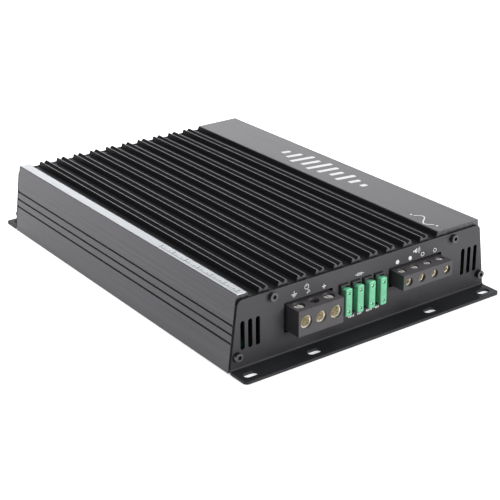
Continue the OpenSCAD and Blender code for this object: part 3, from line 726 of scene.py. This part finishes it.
def build_case():
    """The extrusion and its screw posts, with nearly black painted shade between its fins on a
    second slot.
    """
    # The foot is open, so the outline runs round the inside as well
    inner = channel_side(1) + UNDER_PANEL + channel_side(-1)[::-1]
    points = rounded(case_outline(), 0.2, 4) + rounded(inner, 0.3, 3)
    parts = [prism_bmesh(points, [], *CASE_Y, along_y, bevel_low=0.06, bevel_high=0.06, steps=2)]
    for x, z, r in POSTS:
        bore = circle(x, z, SCREW_R, 20)
        parts.append(prism_bmesh(circle(x, z, r, 32), [bore], *CASE_Y, along_y))
    finishes = [materials["anodised_case"], fin_shade_material]
    piece = finish_piece(joined(parts), "case_extrusion", finishes, "case", 24.0)
    # Painted shade: the walls and floors of the hollows between the fins get the nearly black
    # second slot
    for polygon in piece.data.polygons:
        c, n = polygon.center / MM, polygon.normal
        between = RAIL_X - 0.8 < c.x < PANEL_X - 0.2 and abs(n.y) < 0.5
        if between and FLOOR_Z - 0.2 < c.z < CASE_H - 0.12:
            polygon.material_index = 1
    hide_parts("heatsink_body")


build_case()

strip_outline = rect((strip_low[0], strip_high[0]), (strip_low[1], strip_high[1]), 0.3, 3)
strip = finish_piece(
    prism_bmesh(
        strip_outline, [], strip_low[2], strip_high[2], along_z, bevel_high=0.12, steps=2
    ),
    "trim_bar",
    materials["bare_trim"],
)
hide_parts("trim_strip")


# ---------------------------------------------------------------- folded end plates


low, high = mm_box("front_panel")
FLANGE_Y, PLATE_BACK = low[1], high[1]
PLATE_TOP = high[2]
PLATE_FRONT = FLANGE_Y + 16.0
PLATE_T = 2.0
PLATE_INSET = 0.3  # how far the plate's ends lie inside the case's sides
PLATE_EDGE = 0.22
BEND_R = 1.2
BEND_CUTS = 10
FLANGE_HALF = 104.6
FLAT_RUN = PLATE_FRONT - BEND_R - FLANGE_Y
BEND_RUN = math.pi / 2 * (BEND_R + PLATE_T / 2)
LEAF_START = PLATE_T + BEND_R

VENTS_X, VENT_Z, VENT_R = (84.0, 89.6, 95.2), (15.5, 31.5), 1.5
SLOTS_X, SLOT_OUT, SLOT_HALF, SLOT_R = (48.0, 96.0), 8.8, 2.25, 2.75
SCREWS = ((99.5, 11.0), (73.7, 43.4))


def leaf_s(z):
    """Distance along the flat pattern of a height on the upright leaf."""
    return FLAT_RUN + BEND_RUN + z - LEAF_START


def folded(u, s, h):
    """From the flat pattern to the folded plate, h being the depth below the outer face."""
    if s <= FLAT_RUN:
        return (u, FLANGE_Y + s, PLATE_T - h)
    if s >= FLAT_RUN + BEND_RUN:
        return (u, PLATE_FRONT + h, LEAF_START + s - FLAT_RUN - BEND_RUN)
    t = math.pi / 2 * (s - FLAT_RUN) / BEND_RUN
    r = BEND_R + h
    return (u, PLATE_FRONT - BEND_R + r * math.sin(t), LEAF_START - r * math.cos(t))


def leaf_box(x, z, radius):
    return rect(x, (leaf_s(z[0]), leaf_s(z[1])), radius, 3)


def plate_holes():
    """The vents, slots and screw holes that both end plates have, on the flat pattern."""
    holes = []
    slot_s = FLAT_RUN + BEND_R - SLOT_OUT
    for x in VENTS_X:
        for s in (-1, 1):
            low_end, high_end = ((s * x, leaf_s(z)) for z in VENT_Z)
            holes.append(capsule(low_end, high_end, VENT_R, 10))
    for x in SLOTS_X:
        for s in (-1, 1):
            left, right = about(s * x, SLOT_HALF)
            holes.append(capsule((left, slot_s), (right, slot_s), SLOT_R, 12))
    for x, z in SCREWS:
        for s in (-1, 1):
            holes.append(circle(s * x, leaf_s(z), SCREW_R, 24))
    return holes


def build_plate(name, node, holes, mirror):
    """A plate built flat, cut along its bend and folded. Its cut edges on the upright leaf get
    near-black painted shade.
    """
    bend, top = (LEAF_START, 0.0), (PLATE_TOP, 4.0)  # height, corner radius
    corners = []
    for s, (z, radius) in ((-1, bend), (-1, top), (1, top), (1, bend)):
        corners.append((s * (side_at(z) - PLATE_INSET), leaf_s(z), radius))
    for s, y, radius in ((1, FLAT_RUN, 0.0), (1, 0.0, 3.0), (-1, 0.0, 3.0), (-1, FLAT_RUN, 0.0)):
        corners.append((s * FLANGE_HALF, y, radius))
    bm = prism_bmesh(
        rounded(corners, 0.0, 8), holes + plate_holes(), 0.0, PLATE_T, along_z,
        bevel_low=PLATE_EDGE, bevel_high=PLATE_EDGE, steps=2,
    )
    for k in range(BEND_CUTS + 1):
        y = (FLAT_RUN + BEND_RUN * k / BEND_CUTS) * MM
        geometry = bm.verts[:] + bm.edges[:] + bm.faces[:]
        bmesh.ops.bisect_plane(
            bm, geom=geometry, plane_co=(0, y, 0), plane_no=(0, 1, 0), dist=1e-8
        )
    for v in bm.verts:
        x, y, z = folded(v.co.x / MM, v.co.y / MM, v.co.z / MM)
        v.co = Vector((x, -y if mirror else y, z)) * MM
    piece = finish_piece(bm, name, [materials["coated_plate"], edge_shade_material], "case", 32.0)
    # Painted shade: the edges round the upright leaf and its holes take the near-black second slot
    for polygon in piece.data.polygons:
        c, n = polygon.center / MM, polygon.normal
        in_cut = PLATE_FRONT + 0.2 < -abs(c.y) < PLATE_BACK
        if c.z > LEAF_START and abs(n.y) < 0.3 and in_cut:
            polygon.material_index = 1
    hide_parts(node)


def fuse_box(i):
    return mm_box(f"fuse_body_{i}")


FUSE_WINDOW = (3.75, 11.15)  # half its width and height

front_holes = [
    leaf_box((-64.4, -27.1), (15.9, 35.7), 0.5),  # power terminals
    leaf_box((18.9, 63.9), (22.9, 36.1), 0.5),  # speaker terminals
]
for i in range(1, 5):
    low, high = fuse_box(i)
    x, z = (low[0] + high[0]) / 2, (low[2] + high[2]) / 2
    front_holes.append(leaf_box(about(x, FUSE_WINDOW[0]), about(z, FUSE_WINDOW[1]), 0.4))
build_plate("front_plate", "front_panel", front_holes, False)

CONTROL_Z = 28.0
LAMP_X, LAMPS_Z = 74.0, (24.5, 31.5)
SOCKET_GAP = 0.3
KNOB_BODIES = {
    "bass_knob": "bass_control",
    "subsonic_knob": "subsonic_control",
    "lowpass_knob": "lowpass_control",
    "gain_knob": "gain_control",
}

rear_holes = []
for node in ("rca_housing", "remote_level_socket"):
    low, high = mm_box(node)
    x, z = ((low[a] - SOCKET_GAP, high[a] + SOCKET_GAP) for a in (0, 2))
    rear_holes.append(leaf_box(x, z, 0.3))
# The slider's window also has room for its travel
low, high = mm_box("phase_slider")
rear_holes.append(leaf_box((low[0] - 0.5, high[0] + 4.5), (low[2] - 0.5, high[2] + 0.5), 0.2))
for node in KNOB_BODIES:
    low, high = mm_box(node)
    rear_holes.append(circle((low[0] + high[0]) / 2, leaf_s(CONTROL_Z), 3.5, 28))
for z in LAMPS_Z:
    rear_holes.append(circle(LAMP_X, leaf_s(z), 1.6, 20))
build_plate("rear_plate", "rear_panel", rear_holes, True)


# ---------------------------------------------------------------- blade fuses


def slab(x, y, z, corner, end, steps=3, corner_steps=4):
    """Rounded block along Y, with its outline's corners and its two end edges rounded."""
    outline = rect(x, z, corner, corner_steps)
    return prism_bmesh(outline, [], *y, along_y, bevel_low=end[0], bevel_high=end[1], steps=steps)


HEAD_DEPTH = 4.6
HEAD_CORNER, HEAD_EDGE = 1.25, 0.85
HEAD_TAPER = 0.07  # how much lower the head is at its back
FACE_DEPTH = 1.6  # the front part of the head, which holds the two wells
NECK_HALF = (1.95, 8.5)
PIN_Z, WELL_R = 6.3, 0.95
# radius, distance behind the front
PIN_PROFILE = ((0.0, 0.42), (0.32, 0.46), (0.52, 0.62), (0.58, 0.85), (0.58, 1.55), (0.0, 1.55))


def build_fuse(i):
    """Moulded fuse body: a pillowed head with two test points, and a ribbed neck behind it."""
    low, high = fuse_box(i)
    x, z = (low[0] + high[0]) / 2, (low[2] + high[2]) / 2
    head_x = about(x, (high[0] - low[0]) / 2)
    head_z = about(z, (high[2] - low[2]) / 2)
    front, seat = low[1], high[1]
    neck, shoulder = front + HEAD_DEPTH, front + FACE_DEPTH
    wells = [circle(x, z + s * PIN_Z, WELL_R, 24) for s in (-1, 1)]
    parts = [
        prism_bmesh(
            rect(head_x, head_z, HEAD_CORNER, 6), wells, front, shoulder, along_y,
            bevel_low=HEAD_EDGE, steps=5, rim=0.2,
        ),
        slab(head_x, (shoulder, neck), head_z, HEAD_CORNER, (0.0, 0.7), 4, 6),
        slab(
            about(x, NECK_HALF[0]), (neck - 0.2, seat), about(z, NECK_HALF[1]), 0.6, (0.0, 0.3)
        ),
    ]
    for part in parts[:2]:
        for v in part.verts:
            share = 1 - HEAD_TAPER * (v.co.y / MM - front) / HEAD_DEPTH
            v.co.z = z * MM + (v.co.z - z * MM) * share
    for s in (-1, 1):
        # a raised bar across the face, and two ribs on the neck
        bar_z, rib_z = about(z + s * 2.1, 0.3), about(z + s * 7.6, 0.5)
        bar_y, rib_y = (front - 0.14, front + 0.6), (neck - 0.1, seat - 1.2)
        parts.append(slab(about(x, 1.35), bar_y, bar_z, 0.25, (0.14, 0.0), 2))
        for k in (-1, 1):
            parts.append(slab(about(x + k * 1.5, 0.7), rib_y, rib_z, 0.3, (0.0, 0.15), 2))
    finish = materials["fuse_plastic"]
    body = finish_piece(
        joined(parts), f"fuse_moulding_{i}", finish, f"fuse_{i}", 40.0, merge=False
    )
    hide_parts(f"fuse_body_{i}")
    profile = [(r, front + y) for r, y in PIN_PROFILE]
    pins = [lathe_bmesh(profile, (x, z + s * PIN_Z), 20) for s in (-1, 1)]
    finish = materials["contact_metal"]
    tips = finish_piece(joined(pins), f"fuse_test_points_{i}", finish, f"fuse_{i}", 40.0)


for i in range(1, 5):
    build_fuse(i)


# ---------------------------------------------------------------- rear knobs


POT_FRONT = mm_box("potentiometers")[1][1]
SHAFT_R, STEM_R = 1.9, 2.9
KNOB_DEPTH = 6.7
RIBS, RIB_WAVE = 18, (0.0, 0.06, 0.2, 0.26, 0.2, 0.06)


def build_knob(node, body):
    """Turned knob with a ribbed skirt, a grooved end and a pointer in the groove."""
    low, high = mm_box(node)
    x = (low[0] + high[0]) / 2
    end, r = high[1], (high[0] - low[0]) / 2
    start = end - KNOB_DEPTH
    skirt = []
    count = RIBS * len(RIB_WAVE)
    for k in range(count):
        t = 2 * math.pi * k / count
        reach = r - RIB_WAVE[k % len(RIB_WAVE)]
        skirt.append((x + reach * math.cos(t), CONTROL_Z + reach * math.sin(t)))
    cap = circle(x, CONTROL_Z, r - 0.55, 56)
    groove = rect(about(x, 0.45), (CONTROL_Z + 0.7, CONTROL_Z + r - 1.15), 0.35, 4)
    # The thin shaft is clear of the potentiometer before it widens into the stem
    step = POT_FRONT + 0.35
    shaft = (
        (0.0, low[1]), (SHAFT_R - 0.25, low[1]), (SHAFT_R, low[1] + 0.25), (SHAFT_R, step),
        (STEM_R, step), (STEM_R, start + 0.2), (0.0, start + 0.2),
    )
    parts = [
        prism_bmesh(skirt, [], start, end - 1.6, along_y, bevel_low=0.15, bevel_high=0.5),
        prism_bmesh(
            cap, [groove], end - 0.8, end, along_y, bevel_high=0.35, steps=4, rim=0.35
        ),
        prism_bmesh(cap, [], end - 1.9, end - 0.75, along_y),
        lathe_bmesh(shaft, (x, CONTROL_Z), 36),
    ]
    finish = materials["knob_plastic"]
    knob = finish_piece(joined(parts), f"{node}_cap", finish, body, 35.0, merge=False)
    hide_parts(node)
    pointer = rect(about(x, 0.3), (CONTROL_Z + 0.9, CONTROL_Z + r - 1.35), 0.25, 4)
    pointer = prism_bmesh(pointer, [], end - 0.8, end - 0.45, along_y)
    finish_piece(pointer, f"{node}_pointer", ink_white, body, 35.0)


# ---------------------------------------------------------------- printed marks


# Ink stands this far above its surface, and its underside lies this far below it
INK_UP, INK_DOWN = 0.05, 0.02


def on_front(u, v, h):
    """A place on the front plate's face; h is the height above it."""
    return (u, PLATE_FRONT - h, v)


def on_top(u, v, h):
    return (u, v, CASE_H + h)


def on_strip(u, v, h):
    return (u, v, strip_high[2] + h)


def on_rear(u, v, h):
    return (u, -PLATE_FRONT + h, v)


def ink_shapes(name, shapes, place, material):
    """Flat printed shapes as one piece. A shape is an outline, or an outline with a list of holes.

    Ink takes its finish from no slot of the record, so that a repainted part keeps its marks.
    """
    parts = []
    for shape in shapes:
        outer, holes = shape if isinstance(shape, tuple) else (shape, [])
        parts.append(prism_bmesh(outer, holes, -INK_DOWN, INK_UP, place))
    finish_piece(joined(parts), name, material, "case", 35.0)


def bar(x, z, half_w, half_h, radius):
    return rect(about(x, half_w), about(z, half_h), radius, 3)


def ring(x, z, r, width, steps):
    return (circle(x, z, r, steps), [circle(x, z, r - width, steps)])


def arc_band(cx, cz, r, width, start, end, steps):
    """Part of a ring, from one angle to another in degrees."""
    outer, inner = [], []
    for k in range(steps + 1):
        t = math.radians(start + (end - start) * k / steps)
        outer.append((cx + r * math.cos(t), cz + r * math.sin(t)))
        inner.append((cx + (r - width) * math.cos(t), cz + (r - width) * math.sin(t)))
    return outer + inner[::-1]


def wave_ribbon(x, ends, reach, half):
    """One full wave along Y as a ribbon of even width."""
    steps = 48
    left, right = [], []
    run = ends[1] - ends[0]
    for k in range(steps + 1):
        t = 2 * math.pi * k / steps
        along = Vector((reach * 2 * math.pi * math.cos(t) / run, 1.0)).normalized()
        across = Vector((-along.y, along.x)) * half
        middle = Vector((x + reach * math.sin(t), ends[0] + run * k / steps))
        left.append(tuple(middle + across))
        right.append(tuple(middle - across))
    return left + right[::-1]


def earth_mark(x, z):
    return [
        bar(x, z + 1.6, 0.2, 0.92, 0.1),
        bar(x, z + 0.4, 2.2, 0.22, 0.15),
        bar(x, z - 0.5, 1.45, 0.22, 0.15),
        bar(x, z - 1.4, 0.7, 0.22, 0.15),
    ]


def standby_mark(x, z):
    return [arc_band(x, z - 0.2, 1.75, 0.42, 118, 422, 24), bar(x, z + 1.0, 0.22, 1.0, 0.15)]


def remote_mark(x, z):
    shapes = [circle(x - 1.9, z - 0.9, 0.42, 16)]
    return shapes + [arc_band(x - 1.9, z - 0.9, r, 0.4, 5, 85, 10) for r in (1.3, 2.2)]


def plus_mark(x, z):
    a, w = 1.5, 0.3
    corners = (
        (-w, -a), (w, -a), (w, -w), (a, -w), (a, w), (w, w),
        (w, a), (-w, a), (-w, w), (-a, w), (-a, -w), (-w, -w),
    )
    return [[(x + u, z + v) for u, v in corners]]


def fuse_mark(x, z):
    box = rect(about(x, 2.1), about(z, 0.85), 0.3, 3)
    hole = rect(about(x, 1.75), about(z, 0.5), 0.15, 3)
    wires = [bar(x + u, z, half, 0.16, 0.1) for u, half in ((0.0, 1.6), (-2.9, 0.7), (2.9, 0.7))]
    return [(box, [hole])] + wires


def speaker_mark(x, z):
    cone = [(x - 1.2, z - 0.6), (x + 0.5, z - 1.7), (x + 0.5, z + 1.7), (x - 1.2, z + 0.6)]
    sound = [arc_band(x, z, r, 0.34, -42, 42, 10) for r in (1.7, 2.6, 3.5)]
    return [bar(x - 1.9, z, 0.5, 0.6, 0.1), cone] + sound


# A mark over each terminal: the poles' dots and rings lie a little to the right of their screws
POLES_X, POLE_Z, POLE_R = (25.8, 36.6, 47.4, 58.2), 38.8, 1.45
front_marks = (
    earth_mark(-57.0, 39.3)
    + standby_mark(-47.4, 42.2)
    + remote_mark(-45.0, 38.7)
    + plus_mark(-34.0, 38.6)
    + fuse_mark(-5.7, 39.2)
    + speaker_mark(41.5, 42.6)
    + [circle(x, POLE_Z, POLE_R, 28) for x in POLES_X[:2]]
    + [ring(x, POLE_Z, POLE_R, 0.4, 28) for x in POLES_X[2:]]
)
# Under the fuses: groups of short strokes
for group in range(4):
    x = -13.6 + 7.3 * group
    for k in range(4 - group % 2):
        height = 0.55 + 0.2 * (k % 2)
        front_marks.append(bar(x + 1.25 * k, 11.6 + 0.15 * group, 0.38, height, 0.12))
ink_shapes("front_marks", front_marks, on_front, ink_white)

# Large motif on the flat panel: slanted rounded bars of rising and falling height
MOTIF_X, MOTIF_Y, MOTIF_PITCH = 79.5, 45.5, 10.1
MOTIF_TALL = (7.0, 13.0, 20.0, 15.5, 21.0, 17.0, 11.0, 16.0, 9.0, 5.0)
MOTIF_HALF, MOTIF_SLANT = 2.0, 0.16
motif = []
for k, tall in enumerate(MOTIF_TALL):
    y = MOTIF_Y - MOTIF_PITCH * k
    x0, x1 = about(MOTIF_X, tall / 2)
    lean = MOTIF_SLANT * tall / 2
    corners = [
        (x0, y - MOTIF_HALF + lean),
        (x1, y - MOTIF_HALF - lean),
        (x1, y + MOTIF_HALF - lean),
        (x0, y + MOTIF_HALF + lean),
    ]
    motif.append(rounded(corners, 0.9, 4))
# Small motif near the front: a wave between two dots
WAVE_X, WAVE_ENDS, WAVE_DOTS = 68.6, (-109.5, -129.5), (-107.0, -132.2)
motif.append(wave_ribbon(WAVE_X, WAVE_ENDS, 4.2, 0.42))
motif += [circle(WAVE_X, y, 0.9, 20) for y in WAVE_DOTS]
ink_shapes("panel_marks", motif, on_top, ink_white)

# Graduated scale along the front of the trim strip; its strokes start from one line
SCALE_X, SCALE_Y, SCALE_PITCH = -95.8, -136.0, 2.0
scale = []
for k in range(43):
    long_mark, middle = k % 7 == 0, k % 7 in (2, 5)
    half = 1.75 if long_mark else (1.1 if middle else 0.65)
    y = SCALE_Y + SCALE_PITCH * k
    scale.append(bar(SCALE_X + half, y, half, 0.32 if long_mark else 0.22, 0.15))
ink_shapes("strip_marks", scale, on_strip, ink_dark)

# Arcs of dots round each rear knob, larger at the ends and the middle, and a mark at the lamps
DIAL_R = 6.0
dial = []
for node in KNOB_BODIES:
    low, high = mm_box(node)
    x = (low[0] + high[0]) / 2
    for k in range(11):
        t = math.radians(240 - 30 * k)
        size = 0.45 if k in (0, 5, 10) else 0.28
        dial.append(circle(x + DIAL_R * math.cos(t), CONTROL_Z + DIAL_R * math.sin(t), size, 14))
ink_shapes("rear_marks", dial + standby_mark(LAMP_X, 37.2), on_rear, ink_white)

for node, body in KNOB_BODIES.items():
    build_knob(node, body)


# ---------------------------------------------------------------- carried-over CAD nodes


def dress(node, width):
    """Gives a CAD node its finish and rounds its edges, to a width in millimetres."""
    obj = frame["nodes"][node]
    obj.data.materials.clear()
    obj.data.materials.append(materials[slot_of[node]])
    weld = obj.modifiers.new("weld", "WELD")
    weld.merge_threshold = 1e-6
    planar = obj.modifiers.new("planar", "DECIMATE")
    planar.decimate_type = "DISSOLVE"
    planar.angle_limit = math.radians(0.5)
    bevel = obj.modifiers.new("bevel", "BEVEL")
    bevel.width = width * MM
    bevel.segments = 2
    bevel.limit_method = "ANGLE"
    bevel.angle_limit = math.radians(30.0)
    bevel.use_clamp_overlap = True
    bevel.harden_normals = True
    bevel.miter_outer = "MITER_ARC"
    if node == "status_leds":
        # The bevel leaves slivers at the poles of the lamps' domes
        poles = obj.modifiers.new("poles", "WELD")
        poles.merge_threshold = 3e-6


replaced = {"heatsink_body", "trim_strip", "front_panel", "rear_panel", *KNOB_BODIES}
replaced |= {f"fuse_body_{i}" for i in range(1, 5)}
SMALL_EDGE = 0.12
edge_widths = {
    "power_terminal_housing": 0.35,
    "speaker_terminal_housing": 0.3,
    "fuse_holder": 0.2,
    "rca_housing": 0.4,
    "remote_level_socket": 0.3,
}
for node in frame["nodes"]:
    if node not in replaced:
        dress(node, edge_widths.get(node, SMALL_EDGE))


# ---------------------------------------------------------------- stage, lights and camera


FLOOR_HALF, FLOOR_CELLS = 30.0, 40
FLOOR_DROP = 0.0003  # keeps the floor clear of the amplifier's foot


def build_floor():
    """A pale matt floor that glows a little more behind the amplifier than in front of it."""
    bm = bmesh.new()
    at = [-FLOOR_HALF + 2 * FLOOR_HALF * i / FLOOR_CELLS for i in range(FLOOR_CELLS + 1)]
    grid = [[bm.verts.new((x, y, -FLOOR_DROP)) for x in at] for y in at]
    for near, far in zip(grid, grid[1:]):
        for i in range(FLOOR_CELLS):
            bm.faces.new((near[i], near[i + 1], far[i + 1], far[i]))
    mesh = bpy.data.meshes.new("floor")
    bm.to_mesh(mesh)
    bm.free()
    floor = bpy.data.objects.new("floor", mesh)
    bpy.context.scene.collection.objects.link(floor)
    s = Shader("floor").set(Specular_IOR_Level=0.1, Emission_Color=(1.0, 1.0, 1.0, 1))
    fine = s.noise(300.0, 3.0)
    s.use(
        Base_Color=s.ramp(fine, (0.8, 0.8, 0.8), (0.84, 0.84, 0.84)),
        Roughness=s.remap(fine, 0.75, 0.9),
        Emission_Strength=s.remap(s.object_axis("Y"), 0.6, 1.25, (-0.15, 0.3)),
    )
    mesh.materials.append(s.material)
    floor.visible_diffuse = False


build_floor()

world = bpy.data.worlds.new("studio")
bpy.context.scene.world = world
world.use_nodes = True
background = world.node_tree.nodes["Background"]
background.inputs["Color"].default_value = (0.95, 0.97, 1.0, 1)
background.inputs["Strength"].default_value = 0.22


def area_light(name, at, aim, size, power, diffuse=True, glossy=True):
    """A rectangular light that faces aim. It can be left out of diffuse or of glossy light."""
    data = bpy.data.lights.new(name, "AREA")
    data.shape = "RECTANGLE"
    data.size, data.size_y = size
    data.energy = power
    obj = bpy.data.objects.new(name, data)
    bpy.context.scene.collection.objects.link(obj)
    obj.location = at
    obj.rotation_mode = "QUATERNION"
    obj.rotation_quaternion = (Vector(aim) - Vector(at)).to_track_quat("-Z", "Y")
    obj.visible_diffuse = diffuse
    obj.visible_glossy = glossy
    obj.visible_camera = False


# The key faces the front plate. The top light gives no gloss, which would fill the hollows between
# the fins, and the back light gives only gloss.
area_light("key", (0.55, -1.7, 0.55), (0.0, 0.0, 0.03), (1.3, 0.7), 28.0)
area_light("top", (0.1, 0.3, 1.8), (0.0, 0.0, 0.0), (1.6, 1.6), 24.0, glossy=False)
area_light("back", (1.2, 2.0, 0.9), (0.0, 0.0, 0.05), (2.4, 1.0), 16.5, diffuse=False)

# The camera's place, angles and lens were solved from the case's straight edges in the photograph
CAMERA_AT = (-0.48324, -0.69361, 0.36948)
CAMERA_AZIMUTH, CAMERA_ELEVATION, CAMERA_ROLL = -35.533, 23.341, -0.5255
camera_data = bpy.data.cameras.new("camera")
camera = bpy.data.objects.new("camera", camera_data)
bpy.context.scene.collection.objects.link(camera)
camera_data.lens = 92.29
camera_data.sensor_width = 36.0
camera_data.clip_start, camera_data.clip_end = 0.05, 50.0
azimuth, elevation = math.radians(CAMERA_AZIMUTH), math.radians(CAMERA_ELEVATION)
roll = math.radians(CAMERA_ROLL)
level = math.cos(elevation)
back = Vector((math.sin(azimuth) * level, -math.cos(azimuth) * level, math.sin(elevation)))
right = (-back).cross(Vector((0, 0, 1))).normalized()
up = right.cross(-back)
turned_right = math.cos(roll) * right + math.sin(roll) * up
turned_up = -math.sin(roll) * right + math.cos(roll) * up
place = Matrix((turned_right, turned_up, back)).transposed().to_4x4()
place.translation = Vector(CAMERA_AT)
camera.matrix_world = place
bpy.context.scene.camera = camera
bpy.context.scene.view_settings.view_transform = "Standard"
